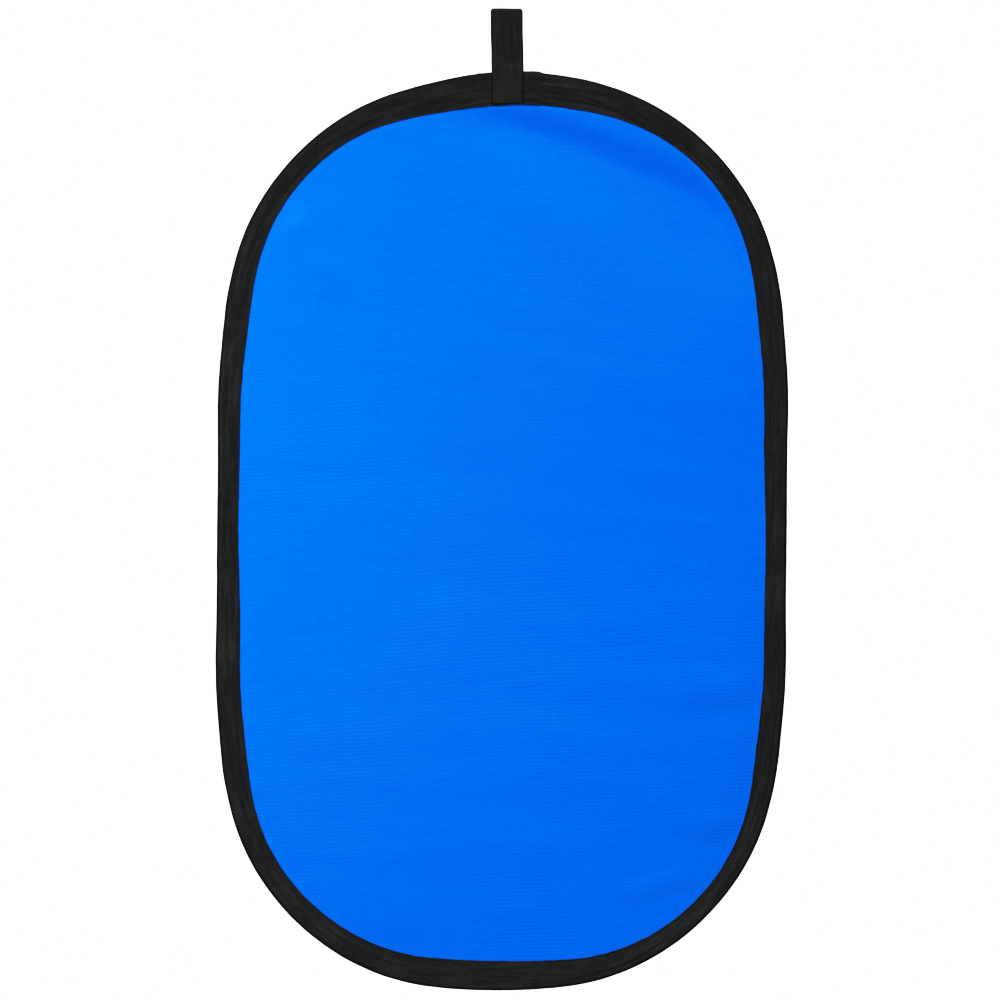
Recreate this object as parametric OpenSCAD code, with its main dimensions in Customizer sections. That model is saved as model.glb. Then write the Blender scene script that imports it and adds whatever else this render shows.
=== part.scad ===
// Collapsible backdrop panel: a sprung steel hoop in a sewn casing, two stretched
// cloth faces and a webbing loop to hang it by. The origin is the crest inside the
// loop, where a hook bears. +X is to the right, +Z is up and the front faces -Y.

/* [Panel] */
// Width over the casing
panel_w = 1020; // [1010:1:1030]
// Height over the casing, without the loop
panel_h = 1645; // [1625:1:1665]
// Radius of the arcs at the top and bottom
end_arc_r = 806; // [780:2:830]
// Radius of the four corner arcs
corner_arc_r = 447; // [430:1:460]
// Radius of the two side arcs
side_arc_r = 7370; // [6500:10:8500]

/* [Window] */
// Width of the cloth that shows inside the casing
window_w = 946; // [940:1:952]
// Height of the cloth that shows inside the casing
window_h = 1531; // [1521:1:1541]
// Radius of the window's top and bottom arcs
window_end_r = 1220; // [1150:10:1290]
// Radius of the window's corner arcs
window_corner_r = 367; // [355:1:375]
// Radius of the window's side arcs
window_side_r = 4340; // [4000:20:4700]

/* [Casing] */
// Thickness of the casing tape
tape_t = 0.8; // [0.6:0.1:1.0]
// Thickness of the casing over its rim, where the hoop lies
rim_t = 12.6; // [12.5:0.1:13.4]
// Thickness of each cloth face
cloth_t = 0.5; // [0.4:0.05:0.6]
// Gap between the two cloth faces
cloth_gap = 0.6; // [0.4:0.1:0.8]
// Cloth that reaches into the casing, past the window's edge
seam_allowance = 12; // [8:1:15]

/* [Hoop] */
// Width of the steel band, from front to back
band_w = 8; // [7:0.1:8.1]
// Thickness of the steel band
band_t = 1; // [0.8:0.05:1.1]
// Length over which the band's two ends overlap
overlap_l = 72; // [64:1:80]
// Length of the crimped sleeve on the overlap
sleeve_l = 34; // [28:1:38]

/* [Loop] */
// Width of the webbing
webbing_w = 56; // [50:1:60]
// Thickness of the webbing
webbing_t = 1.4; // [1.2:0.1:1.6]
// Height of the loop above the casing
loop_h = 113; // [100:1:125]
// Radius inside the bend at the loop's crest
loop_bend_r = 5; // [4:0.5:5.5]

/* [Hidden] */
$fn = 96;

CLOTH_BLUE = [0, 0.34, 0.93];
CLOTH_GREEN = [0.05, 0.55, 0.16];
TAPE_BLACK = [0.05, 0.05, 0.055];
THREAD_BLACK = [0.09, 0.09, 0.10];
STEEL = [0.62, 0.64, 0.66];

// Heights, from the loop's crest down
panel_top = webbing_t - loop_h;
panel_z = panel_top - panel_h / 2;

// An oval is [half width, half height, end radius, corner radius, side radius]
panel_oval = [panel_w / 2, panel_h / 2, end_arc_r, corner_arc_r, side_arc_r];
window_oval = [window_w / 2, window_h / 2, window_end_r, window_corner_r, window_side_r];

half_gap = 0.15;     // half the slit between the upper and the lower half
steps = 75;          // facets round one half; odd, so one lies flat under the sleeve

// Depths from the casing's outer edge to the band and to what is on its splice
band_in = 3.0;
rivet_head_t = 0.4;
sleeve_t = 0.5;
tape_wrap_t = 0.25;

// Seam
hem_w = 7;           // flat width of the casing along the window, where it is sewn
stitch_in = 3.5;     // from the window's edge to the thread
thread_w = 0.8;
thread_t = 0.4;

// --- Oval geometry -------------------------------------------------------------

function inset(o, d) = [for (v = o) v - d];
function end_centre(o) = [0, o[1] - o[2]];
function side_centre(o) = [o[0] - o[4], 0];

// The corner arc's centre lies where circles about the other two centres cross
function corner_centre(o) =
    let (
        p = end_centre(o), q = side_centre(o),
        d = norm(q - p), e = (q - p) / d,
        dp = o[2] - o[3], dq = o[4] - o[3],
        t = (dp * dp - dq * dq + d * d) / (2 * d),
        h = sqrt(dp * dp - t * t)
    )
    p + e * t + [e[1], -e[0]] * h;

function direction(v) = atan2(v[1], v[0]);

// Directions of the normal where the corner arc meets the side arc and the end arc
function side_turn(o) = direction(corner_centre(o) - side_centre(o));
function end_turn(o) = direction(corner_centre(o) - end_centre(o));

// Direction from the oval's centre to the end of the corner arc at turn
function joint_bearing(o, turn) =
    direction(corner_centre(o) + o[3] * [cos(turn), sin(turn)]);

// Distance from the oval's centre to its outline, along a bearing
function reach(o, bearing) =
    let (
        u = [abs(cos(bearing)), abs(sin(bearing))],
        b = direction(u),
        arc = b < joint_bearing(o, side_turn(o)) ? [side_centre(o), o[4]]
            : b < joint_bearing(o, end_turn(o)) ? [corner_centre(o), o[3]]
            : [end_centre(o), o[2]],
        along = u * arc[0]
    )
    along + sqrt(along * along - arc[0] * arc[0] + arc[1] * arc[1]);

function outline_point(o, bearing) =
    reach(o, bearing) * [cos(bearing), sin(bearing)];

// Bearings of one half, from right to left over the top, clear of the slit
slit_bearing = asin(half_gap / (window_w / 2));
function station(i) =
    i == 0 ? slit_bearing
    : i == steps ? 180 - slit_bearing
    : i * 180 / steps;

function half_outline(o) = [for (i = [0:steps]) outline_point(o, station(i))];
function reversed(list) = [for (i = [len(list) - 1:-1:0]) list[i]];

// --- Placing -------------------------------------------------------------------

// Lays a drawing in the panel's plane, with z as its depth towards the back
module in_panel_plane() translate([0, 0, panel_z]) rotate([90, 0, 0]) children();

module lower() translate([0, 0, 2 * panel_z]) mirror([0, 0, 1]) children();

// A flat layer between two depths, front negative
module layer(from, to)
    in_panel_plane() translate([0, 0, -to]) linear_extrude(to - from) children();

// --- Hoop ----------------------------------------------------------------------

// Half of a ring between two depths from the panel's outline
module rim_strip(from, to)
    polygon(concat(half_outline(inset(panel_oval, from)),
                   reversed(half_outline(inset(panel_oval, to)))));

// The part of such a ring under the loop
module top_strip(length, from, to)
    intersection() {
        rim_strip(from, to);
        translate([-length / 2, panel_h / 2 - 20]) square([length, 20]);
    }

// A flat tube round the band's overlap, clear of it by gap
module splice_tube(length, gap, wall) {
    top = band_in - gap;
    bottom = band_in + 2 * band_t + gap;
    half_y = band_w / 2 + gap;
    difference() {
        layer(-half_y - wall, half_y + wall) top_strip(length, top - wall, bottom + wall);
        layer(-half_y, half_y) top_strip(length + 2, top, bottom);
    }
}

module band_half() layer(-band_w / 2, band_w / 2) rim_strip(band_in, band_in + band_t);

rivet_r = 1.2;
rivet_head_r = 2.2;
rivet_x = (sleeve_l + overlap_l) / 4;

// Sets its child on the band's outer face, on the facets beside the sleeve
module at_rivets() {
    facet = [for (i = [(steps - 1) / 2, (steps - 3) / 2])
        outline_point(inset(panel_oval, band_in), station(i))];
    run = facet[1] - facet[0];
    spot = facet[0] + run * (rivet_x - facet[0][0]) / run[0];
    for (side = [0, 1]) mirror([side, 0, 0])
        translate([spot[0], 0, panel_z + spot[1]])
            rotate([0, -direction(run), 0])
                children();
}

module hoop_upper()
    color(STEEL)
        difference() {
            union() {
                band_half();
                layer(-band_w / 2, band_w / 2)
                    top_strip(overlap_l, band_in + band_t, band_in + 2 * band_t);
            }
            at_rivets() translate([0, 0, -2 * band_t - 1]) cylinder(r = rivet_r, h = 2 * band_t + 2);
        }

module hoop_lower() color(STEEL) lower() band_half();

module splice_rivets()
    color(STEEL)
        at_rivets() {
            translate([0, 0, -2 * band_t - rivet_head_t])
                cylinder(r = rivet_r, h = 2 * band_t + 2 * rivet_head_t);
            for (z = [0, -2 * band_t - rivet_head_t]) translate([0, 0, z])
                cylinder(r = rivet_head_r, h = rivet_head_t);
        }

module splice_sleeve() color(STEEL) splice_tube(sleeve_l, 0, sleeve_t);
module splice_tape() color(TAPE_BLACK) splice_tube(overlap_l + 16, sleeve_t, tape_wrap_t);

// --- Casing --------------------------------------------------------------------

// The folded tape's section: [depth from the outer edge, share of the casing's
// width, distance from the mid plane], from one lip round the rim to the other
lip_y = cloth_gap / 2 + cloth_t + 0.05;
rim_y = rim_t / 2;
outer_skin = [
    [0, 1, lip_y + tape_t], [-hem_w, 1, lip_y + tape_t],
    [6, 0, rim_y], [1.6, 0, rim_y - 0.7], [0, 0, rim_y - 2.6]
];
inner_skin = [
    [0, 1, lip_y], [-hem_w, 1, lip_y],
    [6, 0, rim_y - tape_t], [1.8, 0, rim_y - 0.7 - tape_t], [tape_t, 0, rim_y - 3]
];
function flipped(skin) = [for (s = skin) [s[0], s[1], -s[2]]];
tape_section = concat(outer_skin, reversed(flipped(outer_skin)),
                      flipped(inner_skin), reversed(inner_skin));

// A point of the section at one bearing, as [x, height, depth]
function section_point(s, bearing) =
    let (
        edge = reach(panel_oval, bearing),
        width = edge - reach(window_oval, bearing),
        r = edge - s[0] - s[1] * width
    )
    [r * cos(bearing), r * sin(bearing), -s[2]];

module casing_half() {
    m = len(tape_section);
    last = steps * m;
    points = [for (i = [0:steps]) for (s = tape_section) section_point(s, station(i))];
    skins = [for (i = [0:steps - 1]) for (j = [0:m - 1])
        let (a = i * m + j, b = i * m + (j + 1) % m)
        each [[a, b, b + m], [a, b + m, a + m]]];
    caps = [for (j = [0:m / 2 - 2])
        each [[m - 1 - j, m - 2 - j, j + 1, j],
              [last + j, last + j + 1, last + m - 2 - j, last + m - 1 - j]]];
    in_panel_plane() polyhedron(points, concat(skins, caps));
}

module binding_upper() color(TAPE_BLACK) casing_half();
module binding_lower() color(TAPE_BLACK) lower() casing_half();

// --- Cloth and its seams -------------------------------------------------------

cloth_oval = inset(window_oval, -seam_allowance);

module cloth_half() polygon(half_outline(cloth_oval));

module front_cloth() layer(-cloth_gap / 2 - cloth_t, -cloth_gap / 2) cloth_half();
module back_cloth() layer(cloth_gap / 2, cloth_gap / 2 + cloth_t) cloth_half();

module front_fabric_upper() color(CLOTH_BLUE) front_cloth();
module front_fabric_lower() color(CLOTH_BLUE) lower() front_cloth();
module back_fabric_upper() color(CLOTH_GREEN) back_cloth();
module back_fabric_lower() color(CLOTH_GREEN) lower() back_cloth();

module seam_half()
    polygon(concat(half_outline(inset(window_oval, -stitch_in - thread_w)),
                   reversed(half_outline(inset(window_oval, -stitch_in)))));

stitch_y = lip_y + tape_t;

module front_seam() layer(-stitch_y - thread_t, -stitch_y) seam_half();
module back_seam() layer(stitch_y, stitch_y + thread_t) seam_half();

module front_stitching_upper() color(THREAD_BLACK) front_seam();
module front_stitching_lower() color(THREAD_BLACK) lower() front_seam();
module back_stitching_upper() color(THREAD_BLACK) back_seam();
module back_stitching_lower() color(THREAD_BLACK) lower() back_seam();

// --- Loop ----------------------------------------------------------------------

casing_end_w = (panel_h - window_h) / 2;
anchor_clear = 0.2;                     // between the webbing and the casing
anchor_top_y = rim_y + anchor_clear;
anchor_hem_y = lip_y + tape_t + anchor_clear;
anchor_hem = casing_end_w - hem_w;      // depths where the slope and the webbing end
anchor_foot = casing_end_w - 5;
hinge_clear = 8;                        // from the casing's edge up to the free loop

// Turns a side view drawn in [depth, height] into a strip across the panel
module strip_across(width)
    translate([-width / 2, 0, 0])
        rotate([90, 0, 90]) linear_extrude(width) children();

// One sewn leg, seen from the side: down the rim, along the slope and onto the hem
module anchor_leg_side() {
    skin = [[anchor_top_y, 1], [anchor_top_y, 6], [anchor_hem_y, anchor_hem],
            [anchor_hem_y, anchor_foot]];
    polygon(concat([for (p = skin) [p[0], panel_top - p[1]]],
                   [for (p = reversed(skin)) [p[0] + webbing_t, panel_top - p[1]]]));
}

module front_and_back()
    for (side = [0, 1]) mirror([0, side, 0]) children();

module loop_anchor()
    color(TAPE_BLACK)
        front_and_back() strip_across(webbing_w) anchor_leg_side();

// A box of stitches with a cross in it, on each sewn leg
box_w = webbing_w - 12;
box_top = 12;
box_bottom = anchor_hem - 4;
slope = atan((anchor_top_y - anchor_hem_y) / (anchor_hem - 6));
slope_l = (box_bottom - box_top) / cos(slope);

module stitch_bar(from, to)
    translate(from)
        rotate(direction(to - from))
            translate([-thread_w / 2, -thread_w / 2])
                square([norm(to - from) + thread_w, thread_w]);

module box_stitch() {
    c = [[-box_w / 2, 0], [box_w / 2, 0], [box_w / 2, -slope_l], [-box_w / 2, -slope_l]];
    for (pair = [[0, 1], [1, 2], [2, 3], [3, 0], [0, 2], [1, 3]])
        stitch_bar(c[pair[0]], c[pair[1]]);
}

module loop_stitching()
    color(THREAD_BLACK)
        front_and_back()
            translate([0, anchor_top_y + webbing_t - (box_top - 6) * tan(slope) + 0.1,
                       panel_top - box_top])
                rotate([90 - slope, 0, 0])
                    mirror([0, 0, 1]) linear_extrude(thread_t) box_stitch();

module loop_side() {
    outer_r = loop_bend_r + webbing_t;
    leg = loop_h - webbing_t - loop_bend_r - hinge_clear;
    difference() {
        union() {
            translate([0, -loop_bend_r]) circle(r = outer_r);
            translate([-outer_r, -loop_bend_r - leg]) square([2 * outer_r, leg]);
        }
        translate([0, -loop_bend_r]) circle(r = loop_bend_r);
        translate([-loop_bend_r, -loop_bend_r - leg - 1]) square([2 * loop_bend_r, leg + 1]);
    }
}

module hang_loop() color(TAPE_BLACK) strip_across(webbing_w) loop_side();

// --- Nodes ---------------------------------------------------------------------

hoop_upper();
hoop_lower();
splice_sleeve();
splice_rivets();
splice_tape();
binding_upper();
binding_lower();
front_fabric_upper();
front_fabric_lower();
back_fabric_upper();
back_fabric_lower();
front_stitching_upper();
front_stitching_lower();
back_stitching_upper();
back_stitching_lower();
loop_anchor();
loop_stitching();
hang_loop();
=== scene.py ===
"""The looks of the collapsible backdrop panel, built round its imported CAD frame.

Lengths are in metres. In plan, x is to the right and z up as seen from the front,
and y is depth, front negative. Distances along the rim run anticlockwise from its top.
"""

import math

import bpy
import numpy as np
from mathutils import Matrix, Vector, noise


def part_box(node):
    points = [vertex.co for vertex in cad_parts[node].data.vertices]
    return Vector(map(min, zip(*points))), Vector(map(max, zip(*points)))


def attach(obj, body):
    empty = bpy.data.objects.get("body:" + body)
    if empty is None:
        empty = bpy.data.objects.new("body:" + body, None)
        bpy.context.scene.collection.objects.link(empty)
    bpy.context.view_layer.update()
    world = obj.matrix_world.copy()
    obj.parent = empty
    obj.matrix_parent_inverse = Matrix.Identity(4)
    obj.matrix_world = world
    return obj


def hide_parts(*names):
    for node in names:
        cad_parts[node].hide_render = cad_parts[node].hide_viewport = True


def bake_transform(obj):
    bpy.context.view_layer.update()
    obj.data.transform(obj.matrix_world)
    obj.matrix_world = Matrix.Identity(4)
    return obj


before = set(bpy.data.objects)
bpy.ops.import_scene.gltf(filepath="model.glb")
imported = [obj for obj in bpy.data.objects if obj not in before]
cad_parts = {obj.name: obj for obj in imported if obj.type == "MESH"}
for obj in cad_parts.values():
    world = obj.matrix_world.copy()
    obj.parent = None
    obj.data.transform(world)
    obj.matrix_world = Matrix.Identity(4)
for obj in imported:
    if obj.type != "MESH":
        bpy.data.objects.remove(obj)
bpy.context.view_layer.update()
MM = 0.001


# --- What the CAD says -----------------------------------------------------------

rim_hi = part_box("binding_upper")[1]
foot_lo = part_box("binding_lower")[0]
loop_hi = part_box("hang_loop")[1]
PANEL_TOP = rim_hi.z
PANEL_Z = (rim_hi.z + foot_lo.z) / 2
HALF_W = rim_hi.x
HALF_H = (rim_hi.z - foot_lo.z) / 2
LOOP_TOP = loop_hi.z
LOOP_HALF_W = loop_hi.x + 0.0008


# --- Sizes chosen here -----------------------------------------------------------

RIM_RADII = (0.806, 0.447, 7.37)         # end, corner and side arcs of the rim
WINDOW_RADII = (1.22, 0.367, 4.34)       # the same of the cloth that shows
WINDOW_HALF_W = HALF_W - 0.037
WINDOW_HALF_H = HALF_H - 0.057
WINDOW_DROP = 0.0046      # the cloth window sits a little low in the rim
SEAM_ALLOWANCE = 0.012

TAPE_T = 0.0008
TAPE_STEP = 0.0045        # between sections of the casing, along the rim
RIM_DEPTH = 0.0063        # from the mid plane to the casing's face over the hoop
HEM = 0.007
HEM_DEPTH = 0.00165       # the same over the hem
LAP_START = -0.0575       # the tape's hidden end, right of the top centre
LAP_END = -0.0010         # its outer end
LAP_LIFT = 0.0011
LAP_BULGE = 0.0014        # more than the lift, over the hoop only

CLOTH_Y = 0.00055         # mid plane to the middle of each cloth face
CLOTH_T = 0.0005
CLOTH_ROWS, CLOTH_COLUMNS = 280, 176
HELD_OUT = 0.05           # how far in from the window's edge the casing holds the cloth out

THREAD_R = 0.00036
THREAD_PROUD = 0.00012    # of a thread's middle over what it is sewn through
STITCH_PITCH = 0.0034
STITCH_LENGTH = 0.0029

BAND_IN = 0.0030          # from the rim's outline to the steel band
BAND_T = 0.0010
BAND_HALF_W = 0.0040
BAND_LAP = 0.036          # how far each end of the band runs past the top centre

WEB_T = 0.0014
LOOP_R = 0.0057           # to the middle of the webbing, round the crest


# --- Ovals -----------------------------------------------------------------------


class Oval:
    """Eight tangent arcs: an end, a corner and a side arc in each quadrant."""

    def __init__(self, half_w, half_h, end_r, corner_r, side_r, centre_z):
        self.end = np.array([0.0, half_h - end_r])
        self.side = np.array([half_w - side_r, 0.0])
        # The corner arc's centre lies where circles about the other two centres cross
        gap = self.side - self.end
        apart = np.linalg.norm(gap)
        e = gap / apart
        to_end, to_side = end_r - corner_r, side_r - corner_r
        along = (to_end**2 - to_side**2 + apart**2) / (2 * apart)
        across = math.sqrt(to_end**2 - along**2)
        self.corner = self.end + e * along + np.array([e[1], -e[0]]) * across
        self.radii = (end_r, corner_r, side_r)
        self.side_turn = math.atan2(*(self.corner - self.side)[::-1])
        self.end_turn = math.atan2(*(self.corner - self.end)[::-1])
        self.centre_z = centre_z
        turns = np.linspace(0.5, 2.5, 60001) * math.pi
        points = self.at_turn(turns)
        steps = np.linalg.norm(np.diff(points, axis=0), axis=1)
        self.turns = turns
        self.lengths = np.concatenate([[0], np.cumsum(steps)])
        self.perimeter = self.lengths[-1]

    def at_turn(self, turn):
        """Points (x, z) where the outward normal has that direction."""
        c, s = np.cos(turn), np.sin(turn)
        a = np.arctan2(np.abs(s), np.abs(c))
        end_r, corner_r, side_r = self.radii
        on_side, on_end = a < self.side_turn, a > self.end_turn
        r = np.where(on_side, side_r, np.where(on_end, end_r, corner_r))
        centre = np.where(
            on_side[..., None],
            self.side,
            np.where(on_end[..., None], self.end, self.corner),
        )
        x = (centre[..., 0] + r * np.cos(a)) * np.where(c < 0, -1, 1)
        z = (centre[..., 1] + r * np.sin(a)) * np.where(s < 0, -1, 1)
        return np.stack([x, z + self.centre_z], -1)

    def at(self, s):
        """Points and outward normals at distances s along the outline."""
        turn = np.interp(np.mod(s, self.perimeter), self.lengths, self.turns)
        return self.at_turn(turn), np.stack([np.cos(turn), np.sin(turn)], -1)

    def half_width(self, z):
        turns = np.linspace(-0.5, 0.5, 4001) * math.pi
        p = self.at_turn(turns)
        return np.interp(z, p[:, 1], p[:, 0])

    def depth_inside(self, x, z):
        """About how far (x, z) lies inside the outline; negative outside."""
        z = z - self.centre_z
        bearing = np.arctan2(np.abs(z), np.abs(x) + 1e-12)
        turns = np.linspace(0, 0.5, 2001) * math.pi
        p = self.at_turn(turns) - np.array([0, self.centre_z])
        reach = np.interp(bearing, np.arctan2(p[:, 1], p[:, 0]), np.hypot(p[:, 0], p[:, 1]))
        return reach - np.hypot(x, z)


rim = Oval(HALF_W, HALF_H, *RIM_RADII, PANEL_Z)
window = Oval(WINDOW_HALF_W, WINDOW_HALF_H, *WINDOW_RADII, PANEL_Z - WINDOW_DROP)
RIM_LENGTH = rim.perimeter


# --- Helpers ---------------------------------------------------------------------


def smooth(t, lo=0.0, hi=1.0):
    """An S-shaped step from 0 at lo to 1 at hi."""
    t = np.clip((t - lo) / (hi - lo), 0, 1)
    return t * t * (3 - 2 * t)


def bell(t, centre, spread):
    return np.exp(-(((t - centre) / spread) ** 2))


def noise_at(u, v=0.0, w=0.0):
    """Perlin noise, about -1 to 1, over arrays that broadcast."""
    u, v, w = np.broadcast_arrays(u, v, w)
    flat = zip(u.ravel().tolist(), v.ravel().tolist(), w.ravel().tolist())
    return np.array([noise.noise(Vector(p)) for p in flat]).reshape(u.shape) * 1.6


def in_space(xz, y):
    """Plan points and depths as points in space, out of true as a sprung panel is."""
    x, h = xz[..., 0], xz[..., 1] - PANEL_Z
    lean = 0.0085 * h
    swell = 0.0048 * bell(np.abs(h), 0.26, 0.10) - 0.0020 * bell(np.abs(h), 0.47, 0.07)
    droop = 0.0055 * (1 - bell(x, 0, 0.16))
    tilt = 0.010 * x * np.clip((h - 0.2) / 0.55, 0, 1)
    dip = 0.0050 * bell(x, -0.15, 0.085) * smooth(h, 0.6, 0.75)
    x = x + lean + swell * np.tanh(x / 0.2)
    z = PANEL_Z + h - droop + tilt - dip
    return np.stack([x, np.broadcast_to(y, x.shape), z], -1)


def unit(v):
    return v / np.maximum(np.linalg.norm(v, axis=-1, keepdims=True), 1e-12)


def make_object(name, points, faces, uvs, material, sharp=40):
    """A mesh of quads with the map lay, facing outwards, and creased past sharp degrees."""
    mesh = bpy.data.meshes.new(name)
    mesh.from_pydata(points.tolist(), [], faces.tolist())
    tris = np.concatenate([faces[:, [0, 1, 2]], faces[:, [0, 2, 3]]])
    a, b, c = (points[tris[:, i]] for i in range(3))
    if np.einsum("ij,ij->i", a, np.cross(b, c)).sum() < 0:
        mesh.flip_normals()
        uvs = uvs[:, [0, 3, 2, 1]]
    layer = mesh.uv_layers.new(name="lay")
    layer.data.foreach_set("uv", uvs.reshape(-1).astype(np.float32))
    mesh.polygons.foreach_set("use_smooth", [True] * len(mesh.polygons))
    mesh.set_sharp_from_angle(angle=math.radians(sharp))
    mesh.materials.append(material)
    obj = bpy.data.objects.new(name, mesh)
    bpy.context.scene.collection.objects.link(obj)
    return obj


def swept_quads(n, m):
    """The faces of a body swept through n sections of m points, with a cap at each end."""
    ids = np.arange(n * m).reshape(n, m)
    after = np.roll(ids, -1, axis=1)
    walls = np.stack([ids[:-1], after[:-1], after[1:], ids[1:]], -1).reshape(-1, 4)
    k = np.arange(m // 2 - 1)
    first, last = (
        np.stack([row[k], row[k + 1], row[m - 2 - k], row[m - 1 - k]], -1)
        for row in (ids[0], ids[-1])
    )
    return np.concatenate([walls, first[:, ::-1], last])


def tube(name, rows, uv, material, sharp=40):
    """A closed body swept through sections: rows is (sections, points round one, 3)."""
    quads = swept_quads(*rows.shape[:2])
    return make_object(name, rows.reshape(-1, 3), quads, uv.reshape(-1, 2)[quads], material, sharp)


def shell(name, outer, inner, uv, material, sharp=40):
    """A sheet with thickness, between two skins of (sections, points across, 3)."""
    rows = np.concatenate([outer, inner[:, ::-1]], axis=1)
    both = np.concatenate([uv, uv[:, ::-1]], axis=1)
    return tube(name, rows, both, material, sharp)


def threads(name, centres, along, out, length):
    """Stitches: a rounded, slightly bowed length of thread at each centre."""
    # Where along the stitch each ring is, how thick it is there, and how high it stands
    rings = [(-0.5, 0.35, -0.9), (-0.42, 0.8, -0.35), (-0.2, 1.0, 0.1), (0.0, 1.02, 0.2),
             (0.2, 1.0, 0.1), (0.42, 0.8, -0.35), (0.5, 0.35, -0.9)]
    sides = 6
    across = unit(np.cross(out, along))
    out = unit(np.cross(along, across))
    turns = np.arange(sides) / sides * 2 * math.pi
    rows = np.empty((len(centres), len(rings), sides, 3))
    uv = np.empty((len(rings), sides, 2))
    for i, (t, thick, lift) in enumerate(rings):
        ring = (
            across[:, None] * (np.cos(turns)[:, None] * thick)
            + out[:, None] * (np.sin(turns)[:, None] * thick * 0.8 + lift)
        ) * THREAD_R
        rows[:, i] = centres[:, None] + along[:, None] * (t * length) + ring
        uv[i] = np.stack([np.full(sides, t * length), turns * THREAD_R], -1)
    quads = swept_quads(len(rings), sides)
    starts = np.arange(len(centres))[:, None, None] * (len(rings) * sides)
    faces = (quads[None] + starts).reshape(-1, 4)
    uvs = np.tile(uv.reshape(-1, 2)[quads], (len(centres), 1, 1))
    return make_object(name, rows.reshape(-1, 3), faces, uvs, THREAD, 60)


# --- Materials -------------------------------------------------------------------


OBJECT = 3                # the output of a TexCoord node that gives object coordinates


class Surface:
    """A Principled material whose nodes are made by short calls."""

    def __init__(self, name, **sockets):
        self.material = bpy.data.materials.new(name)
        self.material.use_nodes = True
        self.tree = self.material.node_tree
        self.shader = self.tree.nodes["Principled BSDF"]
        for key, value in sockets.items():
            self.shader.inputs[key.replace("_", " ").title().replace("Ior", "IOR")].default_value = value

    def node(self, kind, inputs=(), out=0, **settings):
        n = self.tree.nodes.new("ShaderNode" + kind)
        for key, value in settings.items():
            setattr(n, key, value)
        for key, value in dict(inputs).items():
            self.put(n.inputs[key], value)
        return n.outputs[out]

    def put(self, socket, value):
        if isinstance(value, bpy.types.NodeSocket):
            self.tree.links.new(value, socket)
        else:
            socket.default_value = value

    def math(self, operation, *values):
        return self.node("Math", dict(enumerate(values)), operation=operation)

    def uv(self):
        """The two lay coordinates, in metres."""
        lay = self.node("UVMap", uv_map="lay")
        split = self.node("SeparateXYZ", {0: lay})
        return lay, split.node.outputs[0], split.node.outputs[1]

    def noise(self, vector, scale, detail=3.0, roughness=0.5, stretch=(1, 1, 1)):
        placed = self.node("Mapping", {"Vector": vector, "Scale": stretch})
        return self.node(
            "TexNoise",
            {"Vector": placed, "Scale": scale, "Detail": detail, "Roughness": roughness},
        )

    def range(self, value, lo, hi, to_lo, to_hi):
        return self.node(
            "MapRange", {0: value, 1: lo, 2: hi, 3: to_lo, 4: to_hi}, clamp=True
        )

    def mix(self, factor, a, b):
        return self.node(
            "Mix", {0: factor, 6: a, 7: b}, out=2, data_type="RGBA", clamp_factor=True
        )

    def weave(self, u, v, pitch_u, pitch_v):
        """(height, which thread is on top) of a plain weave."""
        su = self.math("SINE", self.math("MULTIPLY", u, math.pi / pitch_u))
        sv = self.math("SINE", self.math("MULTIPLY", v, math.pi / pitch_v))
        product = self.math("MULTIPLY", su, sv)
        height = self.math("POWER", self.math("ABSOLUTE", product), 0.5)
        top = self.range(product, -0.15, 0.15, 0.0, 1.0)
        return height, top

    def bump(self, height, strength, distance, normal=None):
        inputs = {"Height": height, "Strength": strength, "Distance": distance}
        if normal is not None:
            inputs["Normal"] = normal
        return self.node("Bump", inputs)

    def finish(self, colour=None, roughness=None, normal=None):
        for key, value in (("Base Color", colour), ("Roughness", roughness), ("Normal", normal)):
            if value is not None:
                self.put(self.shader.inputs[key], value)
        return self.material


PAINTED_EDGE_SHADE = (0.0012, 0.0012, 0.0013, 1)    # painted shade, near black, where the tape turns away from the lights
PAINTED_WEAVE_SHADE = (0.0026, 0.0026, 0.0028, 1)    # painted shade of a black weave, on the cells where one set of threads lies on top
PAINTED_CREASE_SHADE = (0.0035, 0.0035, 0.0037, 1)   # painted shade in the hollows of black tape's grain


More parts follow.
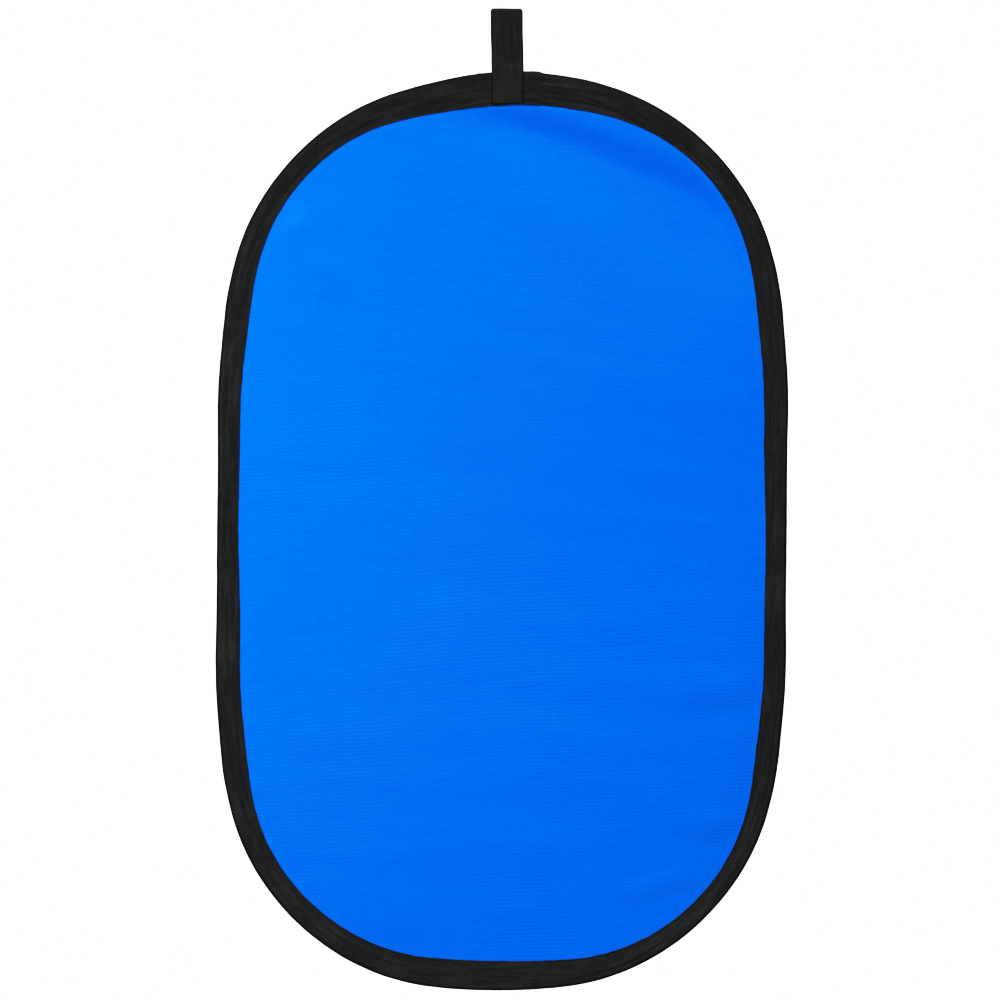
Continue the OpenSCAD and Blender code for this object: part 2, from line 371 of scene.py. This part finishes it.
def cloth_material(name, light, mid, dark, tint):
    """Matt woven polyester, ribbed crosswise, a shade uneven in its dye."""
    s = Surface(name, specular_ior_level=0.12, specular_tint=tint, sheen_weight=0.0)
    lay, u, v = s.uv()
    broad = s.noise(lay, 1.9, detail=2.0)
    fine = s.noise(lay, 60.0, detail=4.0)
    # The weft rises a little to the right, and its ribs show more towards the foot
    weft = s.math("ADD", v, s.math("MULTIPLY", u, -0.055))
    on_grain = s.node("CombineXYZ", {0: u, 1: weft})
    slub = s.noise(on_grain, 30.0, detail=3.0, stretch=(0.25, 9.0, 1.0))
    shade = s.mix(s.range(broad, 0.3, 0.7, 0.0, 1.0), mid, light)
    shade = s.mix(s.range(fine, 0.35, 0.75, 0.0, 0.12), shade, dark)
    shade = s.mix(s.range(slub, 0.5, 0.75, 0.0, 0.27), shade, dark)
    grain = s.noise(lay, 210.0, detail=4.0, roughness=0.7)
    shade = s.mix(s.range(grain, 0.38, 0.65, 0.0, 0.34), shade, dark)
    wobble = s.math("MULTIPLY", s.noise(lay, 3.0, detail=1.0), 0.004)
    rib_v = s.math("ADD", weft, wobble)
    rib_pitch = 0.0068
    rib = s.math("SINE", s.math("MULTIPLY", rib_v, 2 * math.pi / rib_pitch))
    patch = s.range(s.noise(lay, 2.6, detail=1.0), 0.38, 0.64, 0.45, 1.0)
    patch = s.math("MULTIPLY", patch, s.range(v, -0.6, 0.5, 1.5, 0.65))
    rib = s.math("MULTIPLY", rib, patch)
    shade = s.mix(s.range(rib, -1.5, 1.5, 0.0, 0.30), shade, dark)
    weave, top = s.weave(u, v, 0.0005, 0.0004)
    shade = s.mix(s.math("MULTIPLY", top, 0.10), shade, dark)
    normal = s.bump(rib, 0.15, 0.00025)
    normal = s.bump(weave, 0.35, 0.00008, normal)
    return s.finish(shade, s.range(fine, 0.3, 0.7, 0.78, 0.92), normal)


def tape_material(name, mid, worn, pitch, rough, along_streak, fold=None, edge=None, ends=None):
    """Black nylon tape: a tight weave, streaks along its length, greyer where rubbed.

    Within fold metres of its middle line, where it wraps round the hoop, and beyond edge
    metres from it, along its sides, it is painted near black as painted shade, where the
    surface turns away from the lights. Its ends, given as (half its length, how much of that
    is free), are pressed flat and paler.
    """
    s = Surface(name, specular_ior_level=0.09, sheen_weight=0.01, sheen_roughness=0.5)
    lay, u, v = s.uv()
    weave, top = s.weave(u, v, pitch, pitch * 0.8)
    streak = s.noise(lay, 90.0, detail=3.0, stretch=along_streak)
    fuzz = s.noise(lay, 900.0, detail=2.0)
    blotch = s.noise(lay, 14.0, detail=3.0)
    rubbed = s.math(
        "MULTIPLY",
        s.range(streak, 0.40, 0.70, 0.0, 0.62),
        s.range(blotch, 0.35, 0.65, 0.2, 1.0),
    )
    colour = s.mix(rubbed, mid, worn)
    drawn = tuple(0.25 + x * 0.7 for x in along_streak)
    grain = s.noise(lay, 230.0, detail=3.0, roughness=0.6, stretch=drawn)
    colour = s.mix(s.range(grain, 0.5, 0.72, 0.0, 0.19), colour, worn)
    # Painted shade: where the grain's bump is low, its hollows are painted darker
    colour = s.mix(s.range(grain, 0.48, 0.3, 0.0, 0.36), colour, PAINTED_CREASE_SHADE)
    # Painted shade of the weave: darker on the cells where one set of threads lies on top
    colour = s.mix(s.math("MULTIPLY", top, 0.22), colour, PAINTED_WEAVE_SHADE)
    colour = s.mix(s.range(fuzz, 0.62, 0.8, 0.0, 0.35), colour, worn)
    # Painted shade: near black round the rim's edge, within fold metres of the middle line
    if fold:
        near = s.range(s.math("ABSOLUTE", v), fold - 0.0015, fold + 0.0015, 0.8, 0.0)
        colour = s.mix(near, colour, PAINTED_EDGE_SHADE)
    if ends:
        along = s.math("ABSOLUTE", s.math("SUBTRACT", v, ends[0]))
        near = s.range(along, ends[1], ends[1] + 0.006, 0.0, 0.22)
        colour = s.mix(near, colour, worn)
    # Painted shade: near black along the sides, beyond edge metres from the middle line
    if edge:
        near = s.range(s.math("ABSOLUTE", u), edge - 0.0006, edge + 0.0008, 0.0, 0.8)
        colour = s.mix(near, colour, PAINTED_EDGE_SHADE)
    normal = s.bump(streak, 0.5, 0.0008)
    normal = s.bump(grain, 0.55, 0.0009, normal)
    normal = s.bump(weave, 0.55, 0.00018, normal)
    return s.finish(colour, s.range(blotch, 0.3, 0.7, rough - 0.08, rough + 0.08), normal)


def thread_material():
    """Twisted bonded thread, its stripes painted shade: darker in the grooves between its plies and
    lighter on their crowns.
    """
    s = Surface("thread_black", specular_ior_level=0.35)
    lay, u, v = s.uv()
    ply_pitch = 0.0007
    slanted = s.math("ADD", u, s.math("MULTIPLY", v, 1.2))
    ply = s.math("SINE", s.math("MULTIPLY", slanted, 2 * math.pi / ply_pitch))
    dark, light = (0.005, 0.005, 0.006, 1), (0.018, 0.018, 0.019, 1)
    # Painted shade: darker where the ply's bump is low, lighter where it is high
    colour = s.mix(s.range(ply, -1.0, 1.0, 0.0, 1.0), dark, light)
    rough = s.range(s.noise(lay, 700.0), 0.3, 0.7, 0.42, 0.6)
    return s.finish(colour, rough, s.bump(ply, 0.6, 0.0001))


def steel_material(name, colour, dull, rough, coordinates):
    """Rolled or plated steel: fine lines from rolling, and a few dull patches."""
    s = Surface(name, metallic=1.0)
    if coordinates == "lay":
        vector = s.node("UVMap", uv_map="lay")
    else:
        vector = s.node("TexCoord", out=OBJECT)
    lines = s.noise(vector, 400.0, detail=4.0, stretch=(0.02, 6.0, 1.0))
    patches = s.noise(vector, 35.0, detail=4.0)
    shade = s.mix(s.range(patches, 0.4, 0.7, 0.0, 0.6), colour, dull)
    rough_map = s.math("ADD", s.range(lines, 0.3, 0.7, rough - 0.07, rough + 0.07),
                       s.range(patches, 0.5, 0.8, 0.0, 0.15))
    return s.finish(shade, rough_map, s.bump(lines, 0.2, 0.00005))


def wrap_material():
    """Stretched self-adhesive tape, with creases painted darker in their hollows and lighter on their
    ridges, as painted shade.
    """
    s = Surface("wrap_black", specular_ior_level=0.45)
    vector = s.node("TexCoord", out=OBJECT)
    crease = s.noise(vector, 260.0, detail=3.0, stretch=(0.4, 1.0, 1.0))
    dark, light = (0.012, 0.012, 0.013, 1), (0.028, 0.028, 0.03, 1)
    # Painted shade: darker where the crease bump is low, lighter where it is high
    colour = s.mix(s.range(crease, 0.4, 0.7, 0.0, 1.0), dark, light)
    return s.finish(colour, s.range(crease, 0.3, 0.7, 0.3, 0.5), s.bump(crease, 0.4, 0.0002))


BLUE = cloth_material(
    "cloth_blue", (0.0006, 0.184, 0.900, 1), (0.0006, 0.177, 0.880, 1),
    (0.0004, 0.118, 0.760, 1), (0.02, 0.35, 1.0, 1),
)
GREEN = cloth_material(
    "cloth_green", (0.020, 0.350, 0.062, 1), (0.018, 0.325, 0.056, 1),
    (0.012, 0.250, 0.040, 1), (0.3, 1.0, 0.4, 1),
)
# fold paints the casing's rounded rim near black, as painted shade
TAPE = tape_material("tape_black", (0.0168, 0.0176, 0.0175, 1), (0.0510, 0.0530, 0.0525, 1),
                     0.0007, 0.72, (0.12, 1.6, 1.0), fold=0.0088)
# edge paints the webbing's two sides near black, as painted shade
WEBBING = tape_material("webbing_black", (0.0150, 0.0150, 0.0165, 1), (0.0430, 0.0430, 0.0470, 1),
                        0.0011, 0.70, (1.6, 0.14, 1.0), edge=0.0264, ends=(0.1719, 0.1157))
THREAD = thread_material()
SPRING_STEEL = steel_material("spring_steel", (0.42, 0.44, 0.47, 1), (0.30, 0.30, 0.31, 1),
                              0.34, "lay")
PLATED = steel_material("plated_steel", (0.60, 0.60, 0.58, 1), (0.42, 0.41, 0.38, 1),
                        0.38, "object")
WRAP = wrap_material()


# --- Casing ----------------------------------------------------------------------


# Where the tape covers more or less of the cloth: bearing, spread (degrees), extra (m)
UNEVEN_TAPE = (
    (115, 16, -0.0035), (62, 14, -0.0040), (20, 18, 0.0040), (-22, 14, 0.0015),
    (-55, 25, -0.0030), (-115, 18, 0.0060), (-160, 16, 0.0050), (160, 18, 0.0015),
)


def casing_width(s):
    """Distance along the normal from the rim's outline in to the window's edge."""
    p, n = rim.at(s)
    lo, hi = np.full(s.shape, 0.02), np.full(s.shape, 0.09)
    for _ in range(24):
        mid = (lo + hi) / 2
        q = p - n * mid[:, None]
        out = window.depth_inside(q[:, 0], q[:, 1]) < 0
        lo, hi = np.where(out, mid, lo), np.where(out, hi, mid)
    bearing = np.degrees(np.arctan2(p[:, 1] - PANEL_Z, p[:, 0]))
    uneven = np.zeros(s.shape)
    for centre, spread, extra in UNEVEN_TAPE:
        off = (bearing - centre + 180) % 360 - 180
        uneven += extra * bell(off, 0, spread)
    ring = s / RIM_LENGTH * 2 * math.pi
    uneven += noise_at(np.cos(ring) * 38, np.sin(ring) * 38, 9.0) * 0.00045
    # Near the lap the upper layer's lip draws in, and the lower layer's ends short of it
    uneven -= 0.0030 * smooth(s, RIM_LENGTH - 0.16, RIM_LENGTH - 0.05)
    uneven -= 0.0045 * (1 - smooth(s, -0.0075, -0.003))
    return (lo + hi) / 2 + uneven


def corner_share(s):
    """1 where the rim turns sharply, 0 along its straighter parts."""
    _, n = rim.at(s)
    return smooth(np.abs(n[:, 0] * n[:, 1]) * 2, 0.25, 0.95)


# The skin over the hoop, in mm: in from the rim's outline, and out from the mid plane
RIM_SKIN = ((0, 0), (0, 1.5), (0.12, 3.0), (0.5, 4.35), (1.4, 5.45), (3.0, 6.1), (5.5, 6.3))
# The skin over the hem, in mm: in from the lip, and out from the mid plane
HEM_SKIN = ((7.0, 1.72), (4.8, 1.66), (4.1, 1.45), (3.5, 1.28), (2.9, 1.45), (2.2, 1.64),
            (0.45, 1.60), (0.1, 1.45), (0.0, 1.22))
SLOPE_COLUMNS = 9         # columns of points between those two
# The column of the section where the seam lies, at the hem's lowest point
HEM_STITCH = len(RIM_SKIN) + SLOPE_COLUMNS + HEM_SKIN.index((3.5, 1.28))


def section(w):
    """Depths and heights of one face's outer skin from the rim's edge to the lip."""
    depth = [np.full(w.shape, d * MM) for d, _ in RIM_SKIN]
    high = [np.full(w.shape, y * MM) for _, y in RIM_SKIN]
    start, stop = RIM_SKIN[-1][0] * MM, w - HEM
    for t in np.linspace(0, 1, SLOPE_COLUMNS + 2)[1:-1]:
        crown = 0.00045 * math.sin(math.pi * t)
        depth.append(start + (stop - start) * t)
        high.append(np.full(w.shape, RIM_DEPTH + (HEM_DEPTH - RIM_DEPTH) * t + crown))
    for back, y in HEM_SKIN:
        depth.append(w - back * MM)
        high.append(np.full(w.shape, y * MM))
    return np.stack(depth, 1), np.stack(high, 1)


def wrinkles(s, depth, w, side):
    """How far the tape stands off its smooth shape."""
    ring = (s / RIM_LENGTH * 2 * math.pi)[:, None]
    cx, cz = np.cos(ring), np.sin(ring)
    v = np.clip(depth / w[:, None], 0, 1)
    lie = side * 40.0
    turn = corner_share(s)[:, None]
    pucker = noise_at(cx * 62 + lie, cz * 62, depth * 18)
    pucker *= 0.00050 * (0.35 + 0.65 * turn) * smooth(v, 0.25, 0.8) * (1 - smooth(v, 0.84, 0.93))
    crease = noise_at(cx * 9 + lie, cz * 9, depth * 150)
    crease *= 0.00080 * (1.15 - 0.5 * turn) * smooth(v, 0.06, 0.3) * (1 - smooth(v, 0.72, 0.88))
    drag = noise_at((s[:, None] + 1.6 * depth) * 26 + lie, depth * 30, 3.0)
    drag *= 0.00050 * smooth(v, 0.05, 0.35) * (1 - smooth(v, 0.75, 0.9))
    bruise = noise_at(cx * 22 + lie, cz * 22, 7.0 + depth * 0) * 0.00025 * (1 - smooth(v, 0.2, 0.5))
    return pucker + crease + drag + bruise


def casing(s):
    """(outer skin, inner skin, distance across) from back lip round the rim to front.

    s is the distances along the rim at which the sections are taken.
    """
    p, n = rim.at(s)
    w = casing_width(s)
    depth, high = section(w)
    k = depth.shape[1]
    back, front = wrinkles(s, depth, w, 1), wrinkles(s, depth, w, -1)
    depth2 = np.concatenate([depth[:, :0:-1], depth], 1)
    y2 = np.concatenate([high[:, :0:-1], -high], 1)
    stand = np.concatenate([back[:, :0:-1], front], 1)
    tangent = unit(np.stack([-np.gradient(depth2, axis=1), np.gradient(y2, axis=1)], -1))
    out = np.stack([-tangent[..., 1], tangent[..., 0]], -1)
    over = s - (RIM_LENGTH + LAP_START)
    lift = LAP_LIFT * smooth(over, -0.012, -0.002)
    bulge = LAP_BULGE * smooth(over, -0.010, -0.002) * (1 - smooth(over, 0.004, 0.03))
    offset = stand + lift[:, None] + bulge[:, None] * (1 - smooth(depth2 / w[:, None], 0.1, 0.4))
    thick = np.full(2 * k - 1, TAPE_T)
    pinch = np.interp(np.arange(k), [0, k - 8, k - 6, k - 4, k - 2, k - 1], [1, 1, 0.55, 1, 0.95, 0.6])
    thick = thick * np.concatenate([pinch[:0:-1], pinch])

    def skin(offset):
        d = depth2 - out[..., 0] * offset
        y = y2 + out[..., 1] * offset
        return in_space(p[:, None] - n[:, None] * d[..., None], y)

    outer, inner = skin(offset), skin(offset - thick)
    lengths = np.linalg.norm(np.diff(outer, axis=1), axis=-1)
    across = np.concatenate([np.zeros((len(s), 1)), np.cumsum(lengths, 1)], 1)
    across -= across[:, k - 1 : k]
    return outer, inner, across


def seam(name, column, side):
    """A row of stitches along one column of the casing's skin, front if side is -1."""
    count = int((RIM_LENGTH + LAP_END - 0.004) / STITCH_PITCH)
    at = np.arange(count) * STITCH_PITCH + 0.003
    here = casing(at)[0][:, column]
    ahead = casing(at + 0.0012)[0][:, column] - casing(at - 0.0012)[0][:, column]
    out = np.tile([0.0, side, 0.0], (count, 1))
    return threads(name, here + out * THREAD_PROUD, unit(ahead), out, STITCH_LENGTH)


steps = int(RIM_LENGTH / TAPE_STEP)
s = np.linspace(LAP_START, RIM_LENGTH + LAP_END, steps)
outer, inner, across = casing(s)
lay = np.stack([np.broadcast_to(s[:, None], across.shape), across], -1)
casing_tape = shell("casing_tape", outer, inner, lay, TAPE)

middle = outer.shape[1] // 2
front_seam = seam("front_seam", middle + HEM_STITCH, -1.0)
back_seam = seam("back_seam", middle - HEM_STITCH, 1.0)


# --- Cloth faces -----------------------------------------------------------------


def ridge(x, h, start, end, widths, height, fades=(0.5, 0.5)):
    """A soft fold from start to end: a ridge that dies away at both ends.

    Its two widths are those on its right and on its left, looking from start to end. It
    fades over the given shares of its length, near its start and about its end.
    """
    a, b = np.array(start), np.array(end)
    length = np.linalg.norm(b - a)
    e = (b - a) / length
    along = ((x - a[0]) * e[0] + (h - a[1]) * e[1]) / length
    off = -(x - a[0]) * e[1] + (h - a[1]) * e[0]
    fade = smooth(along, 0.1 - fades[0] / 2, 0.1 + fades[0] / 2)
    fade *= 1 - smooth(along, 1 - fades[1] / 2, 1 + fades[1] / 2)
    return height * bell(off, 0, np.where(off > 0, widths[1], widths[0])) * fade


# Soft folds in each face: start, end, widths and height, from the panel's centre
FRONT_FOLDS = (
    ((0.38, 0.56), (0.445, 0.40), (0.034, 0.022), 0.0018),
    ((-0.42, 0.60), (-0.30, 0.44), (0.030, 0.030), 0.0024),
    ((0.10, 0.30), (0.44, 0.22), (0.050, 0.050), 0.0014),
    ((-0.43, 0.58), (-0.35, 0.55), (0.020, 0.020), 0.0017),
    ((0.22, -0.47), (0.46, -0.53), (0.030, 0.030), 0.0016),
    ((0.24, -0.30), (0.46, -0.27), (0.030, 0.030), 0.0012),
    ((0.20, -0.66), (0.36, -0.60), (0.030, 0.030), 0.0012),
)
BACK_FOLDS = (
    ((-0.02, 0.75), (-0.33, 0.62), (0.030, 0.030), 0.0032),
    ((0.40, -0.60), (0.22, -0.70), (0.030, 0.030), 0.0026),
)


def sag(x, z):
    """How far both cloth faces lie back from the rim's plane: one slack fold by the top."""
    h = z - PANEL_Z
    widening = 0.055 + 0.125 * smooth(x, 0.02, 0.30)
    depth = ridge(x, h, (-0.030, 0.742), (0.385, 0.579), (widening, 0.046), 0.0143, (0.80, 0.6))
    depth += ridge(x, h, (0.350, 0.603), (0.450, 0.430), (0.09, 0.034), 0.0058, (0.8, 0.9))
    held = 1 - np.clip(window.depth_inside(x, z) / HELD_OUT, 0, 1)
    return depth * (1 - held**2)


def relief(x, z, side):
    """How far a cloth face stands forward of its flat plane."""
    h = z - PANEL_Z
    total = noise_at(x * 2.1, h * 1.6, 5.0 + side) * 0.0016
    total += noise_at(x * 6.0 + h * 2.0, h * 4.0, 11.0 + side) * 0.0004
    across = h + x * (0.12 + 0.22 * h)
    ripple = noise_at(x * 2.4, across * 15, 21.0 + side) * 0.00062
    ripple += noise_at(x * 5.0, across * 32, 27.0 + side) * 0.00022
    total += ripple * (0.75 + 0.35 * smooth(x * -side, -0.1, 0.4))
    for start, end, widths, height in FRONT_FOLDS if side < 0 else BACK_FOLDS:
        total += ridge(x, h, start, end, widths, height)
    inside = window.depth_inside(x, z)
    bearing = np.arctan2(h, x)
    gather = noise_at(np.cos(bearing) * 45, np.sin(bearing) * 45, side * 3.0)
    total *= smooth(inside, 0.0, 0.045)
    total += gather * 0.0003 * smooth(inside, 0.0, 0.01) * (1 - smooth(inside, 0.012, 0.07))
    return np.maximum(total + 0.0009 * smooth(inside, 0.0, 0.06), -0.0001)


def enclosed_area(oval):
    p = oval.at_turn(np.linspace(0, 2 * math.pi, 2001)[:-1]) - np.array([0, oval.centre_z])
    x, z = p[:, 0], p[:, 1]
    return 0.5 * abs(np.dot(x, np.roll(z, 1)) - np.dot(z, np.roll(x, 1)))


def cloth(name, side, material):
    """One cloth face, front if side is -1, with its seam allowance inside the tape."""
    half_h = WINDOW_HALF_H + SEAM_ALLOWANCE
    cut = Oval(WINDOW_HALF_W + SEAM_ALLOWANCE, half_h,
               *(r + SEAM_ALLOWANCE for r in WINDOW_RADII), PANEL_Z - WINDOW_DROP)
    # Rows crowd together towards the top and the bottom, where the outline turns
    rows = np.sin(np.linspace(-1, 1, CLOTH_ROWS) * math.asin(0.9996))
    z = cut.centre_z + half_h * rows
    x = cut.half_width(z)[:, None] * np.linspace(-1, 1, CLOTH_COLUMNS)[None]
    z = np.broadcast_to(z[:, None], x.shape)
    y = side * (CLOTH_Y + relief(x, z, side)) + sag(x, z)
    xz = np.stack([x, z], -1)
    face = in_space(xz, y + side * CLOTH_T / 2)
    rear = in_space(xz, y - side * CLOTH_T / 2)
    lay = np.stack([x * -side, z - PANEL_Z], -1)
    flat = (2 * cut.half_width(np.array([cut.centre_z]))[0], 2 * half_h)
    return shell(name, face, rear, lay, material), flat, enclosed_area(cut)


front_cloth, cut_size, cut_area = cloth("front_cloth", -1, BLUE)
back_cloth, _, _ = cloth("back_cloth", 1, GREEN)


# --- Hoop ------------------------------------------------------------------------

s = np.linspace(-BAND_LAP, RIM_LENGTH + BAND_LAP, steps)
p, n = rim.at(s)
# At the lap one end steps inwards, by the band's thickness and a little more
step_in = 0.00105 * smooth(s, RIM_LENGTH - 0.052, RIM_LENGTH - 0.038)
corners = [(BAND_IN, -BAND_HALF_W), (BAND_IN, BAND_HALF_W),
           (BAND_IN + BAND_T, BAND_HALF_W), (BAND_IN + BAND_T, -BAND_HALF_W)]
rows = np.stack(
    [in_space(p - n * (d + step_in)[:, None], np.full(len(s), y)) for d, y in corners], 1
)
round_band = np.array([0, 0.008, 0.009, 0.017])
ring = np.stack([np.broadcast_to(s[:, None], (len(s), 4)),
                 np.broadcast_to(round_band, (len(s), 4))], -1)
spring_hoop = tube("spring_hoop", rows, ring, SPRING_STEEL, sharp=30)


# --- Hanging loop ----------------------------------------------------------------


def chaikin(points, rounds):
    """A polyline with its corners cut, so many times over."""
    for _ in range(rounds):
        a, b = points[:-1], points[1:]
        cut = np.stack([a * 0.75 + b * 0.25, a * 0.25 + b * 0.75], 1).reshape(-1, 2)
        points = np.concatenate([points[:1], cut, points[-1:]])
    return points


def loop_x(z):
    """Where the middle of the webbing lies, left to right: it isn't sewn quite plumb."""
    return np.interp(z, [PANEL_TOP - 0.055, PANEL_TOP, 0], [0.0093, 0.0103, 0.0081])


def loop_path():
    """(y, z) along the middle of the webbing, from the front foot over to the back."""
    top = PANEL_TOP
    front = [(-3.2, -56), (-3.4, -50.5), (-3.9, -46.5), (-7.7, -8), (-8.1, -4), (-8.1, 1),
             (-7.5, 7), (-6.2, 14), (-5.75, 22), (-5.7, 40)]
    front = [(y * MM, top + z * MM) for y, z in front]
    front += [(-LOOP_R, -0.03), (-LOOP_R, -0.012)]
    crest_z = LOOP_TOP - WEB_T / 2 - LOOP_R
    crest = [(-LOOP_R * math.cos(a), crest_z + LOOP_R * math.sin(a))
             for a in np.linspace(0.05, math.pi / 2, 9)]
    half = chaikin(np.array(front + crest[:-1]), 3)
    half = np.concatenate([half, [crest[-1]]])
    path = np.concatenate([half, (half * [-1, 1])[-2::-1]])
    length = np.concatenate([[0], np.cumsum(np.linalg.norm(np.diff(path, axis=0), axis=1))])
    even = np.linspace(0, length[-1], int(length[-1] / 0.0012))
    return np.stack([np.interp(even, length, path[:, i]) for i in (0, 1)], -1), even


path, path_at = loop_path()
tangent = unit(np.gradient(path, axis=0))
path_out = np.stack([-tangent[:, 1], tangent[:, 0]], -1)


def webbing_skin(t, offset, lift=0.0):
    """Points of the webbing's skin, with t from -1 to 1 across it."""
    t = np.atleast_1d(t)[None]
    down = np.clip(0.0065 - (LOOP_TOP - path[:, 1]), 0, 0.0064)[:, None]
    half = LOOP_HALF_W - (0.0065 - np.sqrt(0.0065**2 - down**2))
    free = smooth(path[:, 1], PANEL_TOP + 0.004, PANEL_TOP + 0.03)[:, None]
    front = np.where(path[:, 0] < 0, 1.0, -1.0)[:, None]
    sway = noise_at(path[:, 1] * 24, 1.7)[:, None] * 0.0005 * free
    wave = noise_at(path[:, 1][:, None] * 20, t * 0.8, front * 2.3) * 0.0007 * free
    cup = -0.0004 * t * t * free
    x = t * half + sway
    rolled = np.sqrt(np.clip(1 - np.clip((np.abs(t) - 0.965) / 0.035, 0, 1) ** 2 * 0.8, 0, 1))
    d = offset * rolled + wave + cup + lift
    y = path[:, :1] + path_out[:, :1] * d
    z = path[:, 1:] + path_out[:, 1:] * d
    return np.stack([x + loop_x(z), y, z], -1)


t = np.sin(np.linspace(-0.5, 0.5, 31) * math.pi * 0.94) / math.sin(math.pi * 0.47)
outer, inner = webbing_skin(t, WEB_T / 2), webbing_skin(t, -WEB_T / 2)
lay = np.stack(
    [np.broadcast_to(t * LOOP_HALF_W, outer.shape[:2]),
     np.broadcast_to(path_at[:, None], outer.shape[:2])], -1)
hanging_loop = shell("hanging_loop", outer, inner, lay, WEBBING, sharp=50)


def box_of_stitches(half_w, low, high):
    """Stitches round a box on both sewn ends: low and high are distances from the foot."""
    outline = [(-half_w, low), (half_w, low), (half_w, high), (-half_w, high), (-half_w, low)]
    centres, directions, outs = [], [], []
    for at_back in (False, True):
        for a, b in zip(np.array(outline[:-1]), np.array(outline[1:])):
            length = np.linalg.norm(b - a)
            count = max(2, round(length / 0.0031))
            across, down = (b - a) / length
            for i in range(count):
                x, up = a + (b - a) * (i + 0.5) / count
                at = path_at[-1] - up if at_back else up
                y, z = (np.interp(at, path_at, path[:, j]) for j in (0, 1))
                oy, oz = (np.interp(at, path_at, path_out[:, j]) for j in (0, 1))
                ty, tz = (np.interp(at, path_at, tangent[:, j]) for j in (0, 1))
                lift = WEB_T / 2 + THREAD_PROUD
                turn = -down if at_back else down
                centres.append((x + loop_x(z), y + oy * lift, z + oz * lift))
                directions.append((across, turn * ty, turn * tz))
                outs.append((0.0, oy, oz))
    return np.array(centres), unit(np.array(directions)), np.array(outs)


loop_stitches = threads("loop_stitches", *box_of_stitches(0.0255, 0.0035, 0.0475), 0.0026)


# --- Riding and replacing --------------------------------------------------------

for piece in (casing_tape, front_seam, back_seam, front_cloth, back_cloth, spring_hoop):
    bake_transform(piece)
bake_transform(hanging_loop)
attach(loop_stitches, "panel_upper")

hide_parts("binding_upper", "binding_lower")
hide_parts("front_fabric_upper", "front_fabric_lower")
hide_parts("back_fabric_upper", "back_fabric_lower")
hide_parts("front_stitching_upper", "front_stitching_lower")
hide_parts("back_stitching_upper", "back_stitching_lower")
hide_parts("hoop_upper", "hoop_lower")
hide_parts("hang_loop", "loop_anchor")
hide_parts("loop_stitching")

for node, material in (
    ("splice_sleeve", PLATED), ("splice_rivets", PLATED), ("splice_tape", WRAP),
):
    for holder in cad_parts[node].material_slots:
        holder.material = material


# --- Floor, light and camera -----------------------------------------------------


def floor_material():
    s = Surface("floor_pale", roughness=0.9, specular_ior_level=0.2)
    where = s.node("TexCoord", out=OBJECT)
    cloud = s.noise(where, 1.2, detail=4.0)
    dark, light = (0.29, 0.29, 0.288, 1), (0.32, 0.32, 0.318, 1)
    colour = s.mix(s.range(cloud, 0.3, 0.7, 0.0, 1.0), dark, light)
    return s.finish(colour)


def make_floor(z, radius, sides=96):
    turns = np.arange(sides) / sides * 2 * math.pi
    points = [(radius * math.cos(a), radius * math.sin(a), z) for a in turns]
    mesh = bpy.data.meshes.new("floor")
    fan = [(0, i + 1, (i + 1) % sides + 1) for i in range(sides)]
    mesh.from_pydata([(0, 0, z), *points], [], fan)
    mesh.materials.append(floor_material())
    floor = bpy.data.objects.new("floor", mesh)
    bpy.context.scene.collection.objects.link(floor)


def area_light(name, place, size, watts):
    """A round light that faces the middle of the panel."""
    light = bpy.data.lights.new(name, "AREA")
    light.shape = "DISK"
    light.size = size
    light.energy = watts
    obj = bpy.data.objects.new(name, light)
    obj.location = place
    obj.rotation_euler = (Vector((0, 0, PANEL_Z)) - Vector(place)).to_track_quat("-Z", "Y").to_euler()
    bpy.context.scene.collection.objects.link(obj)


make_floor(-2.5, 3.2)
# The back's key light is lower and weaker, so that a face turned up isn't lit by two
for name, front, key_up, key_watts in (("front", -1, 9.6, 1540), ("back", 1, 3.0, 263)):
    area_light(name + "_key", (front * 1.4, front * 5.2, PANEL_Z + key_up), 2.0, key_watts)
    area_light(name + "_side", (front * 1.55, front * 1.85, PANEL_Z + 0.22), 1.2, 27)

SKY_LIT = 0.075           # the backdrop's strength as a light
SKY_SEEN = 1.4            # and as the camera sees it, plain white

world = bpy.data.worlds.new("studio")
world.use_nodes = True
bpy.context.scene.world = world
tree = world.node_tree
background = tree.nodes["Background"]
background.inputs["Color"].default_value = (1, 1, 1, 1)
path_kind = tree.nodes.new("ShaderNodeLightPath")
strength = tree.nodes.new("ShaderNodeMapRange")
strength.inputs["To Min"].default_value = SKY_LIT
strength.inputs["To Max"].default_value = SKY_SEEN
tree.links.new(path_kind.outputs["Is Camera Ray"], strength.inputs["Value"])
tree.links.new(strength.outputs["Result"], background.inputs["Strength"])

LENS = 200.0
SENSOR = 36.0
VIEW_W = 1.79             # what the frame spans at the panel
camera = bpy.data.cameras.new("camera")
camera.lens = LENS
camera.sensor_width = SENSOR
camera.clip_end = 60.0
eye = bpy.data.objects.new("camera", camera)
eye.location = (-0.0034, -VIEW_W * LENS / SENSOR, PANEL_Z + 0.0555)
eye.rotation_euler = (math.pi / 2, 0, 0)
bpy.context.scene.collection.objects.link(eye)
bpy.context.scene.camera = eye

# The response of an ordinary camera: deep blacks, and bright colours eased towards white
WHITE_AT = 1.4
RESPONSE = ((0.05, 0.032), (0.15, 0.133), (0.20, 0.210), (0.42, 0.52), (0.735, 0.807), (0.98, 0.922))
view = bpy.context.scene.view_settings
view.view_transform = "Standard"
view.look = "None"
view.use_curve_mapping = True
view.curve_mapping.white_level = (WHITE_AT, WHITE_AT, WHITE_AT)
curve = view.curve_mapping.curves[3]
curve.points[0].location = (0.0, 0.0)
curve.points[1].location = (1.0, 1.0)
for seen, shown in RESPONSE:
    curve.points.new(seen / WHITE_AT, shown)
view.curve_mapping.update()

bpy.context.view_layer.update()
